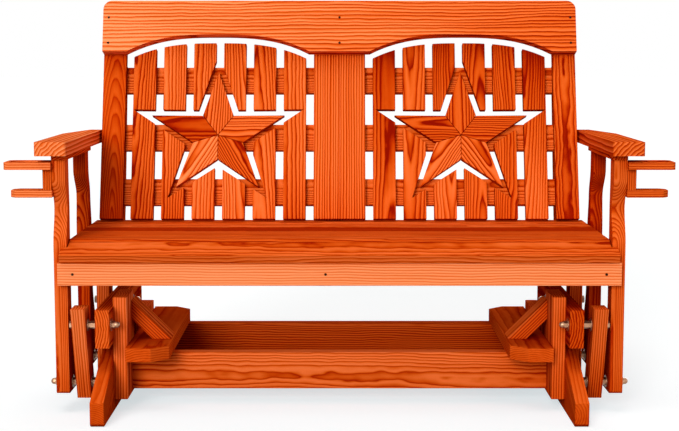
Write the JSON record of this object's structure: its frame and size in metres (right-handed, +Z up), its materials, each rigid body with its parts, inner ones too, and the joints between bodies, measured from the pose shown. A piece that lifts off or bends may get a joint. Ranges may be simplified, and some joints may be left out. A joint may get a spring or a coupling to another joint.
{
  "type": "porch glider bench",
  "caption": "Slatted timber porch glider bench with star back panels, arms and cup holders, its seat hung on swing links from a floor base.",
  "frame": {"origin": "on the floor, at the middle of the base's footprint", "axes": "+X along the bench to the right as seen from the front, +Y towards the back, +Z up"},
  "size_m": [1.82, 0.95, 1.1507],
  "materials": {
    "timber": "stained and oiled softwood, satin",
    "hardware": "zinc plated"
  },
  "bodies": {
    "base": {"hanger_left": "timber", "hanger_right": "timber", "front_leg_left": "timber", "front_leg_right": "timber", "rear_leg_left": "timber", "rear_leg_right": "timber", "front_upright_left": "timber", "front_upright_right": "timber", "rear_upright_left": "timber", "rear_upright_right": "timber", "front_stretcher": "timber", "rear_stretcher": "timber", "side_shelf_left": "timber", "side_shelf_right": "timber", "knee_brace_left": "timber", "knee_brace_right": "timber", "upper_pivot_bolts": "hardware"},
    "link_front_left": {"front_link_left": "timber"},
    "link_front_right": {"front_link_right": "timber"},
    "link_rear_left": {"rear_link_left": "timber"},
    "link_rear_right": {"rear_link_right": "timber"},
    "seat": {"front_post_left": "timber", "front_post_right": "timber", "rear_post_left": "timber", "rear_post_right": "timber", "seat_support_left": "timber", "seat_support_middle": "timber", "seat_support_right": "timber", "back_upright_left": "timber", "back_upright_middle": "timber", "back_upright_right": "timber", "front_apron": "timber", "seat_slat_1": "timber", "seat_slat_2": "timber", "seat_slat_3": "timber", "seat_slat_4": "timber", "seat_slat_5": "timber", "seat_slat_6": "timber", "back_rail_lower": "timber", "back_rail_middle": "timber", "back_rail_upper": "timber", "crest_rail": "timber", "stile_left": "timber", "stile_right": "timber", "centre_boards": "timber", "back_slats_left": "timber", "back_slats_right": "timber", "star_left": "timber", "star_right": "timber", "arm_left": "timber", "arm_right": "timber", "arm_cleat_left": "timber", "arm_cleat_right": "timber", "cup_plate_left": "timber", "cup_plate_right": "timber", "cup_rest_left": "timber", "cup_rest_right": "timber", "cup_spacers": "timber", "lower_pivot_bolts": "hardware", "screws": "hardware"}
  },
  "joints": [
    {"name": "front_left_link_swing", "type": "hinge", "parent": "base", "child": "link_front_left", "pos_m": [-0.71, -0.328, 0.25], "axis": [1, 0, 0], "range_deg": [-15, 15]},
    {"name": "seat_swing", "type": "hinge", "parent": "link_front_left", "child": "seat", "pos_m": [-0.71, -0.273, 0.08], "axis": [-1, 0, 0], "range_deg": [-17.5, 17.5]},
    {"name": "front_right_link_swing", "type": "hinge", "parent": "base", "child": "link_front_right", "pos_m": [0.71, -0.328, 0.25], "axis": [1, 0, 0], "range_deg": [-15, 15]},
    {"name": "rear_left_link_swing", "type": "hinge", "parent": "base", "child": "link_rear_left", "pos_m": [-0.71, 0.084, 0.25], "axis": [1, 0, 0], "range_deg": [-15, 15]},
    {"name": "rear_right_link_swing", "type": "hinge", "parent": "base", "child": "link_rear_right", "pos_m": [0.71, 0.084, 0.25], "axis": [1, 0, 0], "range_deg": [-15, 15]}
  ],
  "couplings": [
    {"joint": "front_left_link_swing", "follows": "seat_swing", "ratio": 0.8566},
    {"joint": "front_right_link_swing", "follows": "seat_swing", "ratio": 0.8566},
    {"joint": "rear_left_link_swing", "follows": "seat_swing", "ratio": 0.8566},
    {"joint": "rear_right_link_swing", "follows": "seat_swing", "ratio": 0.8566}
  ]
}
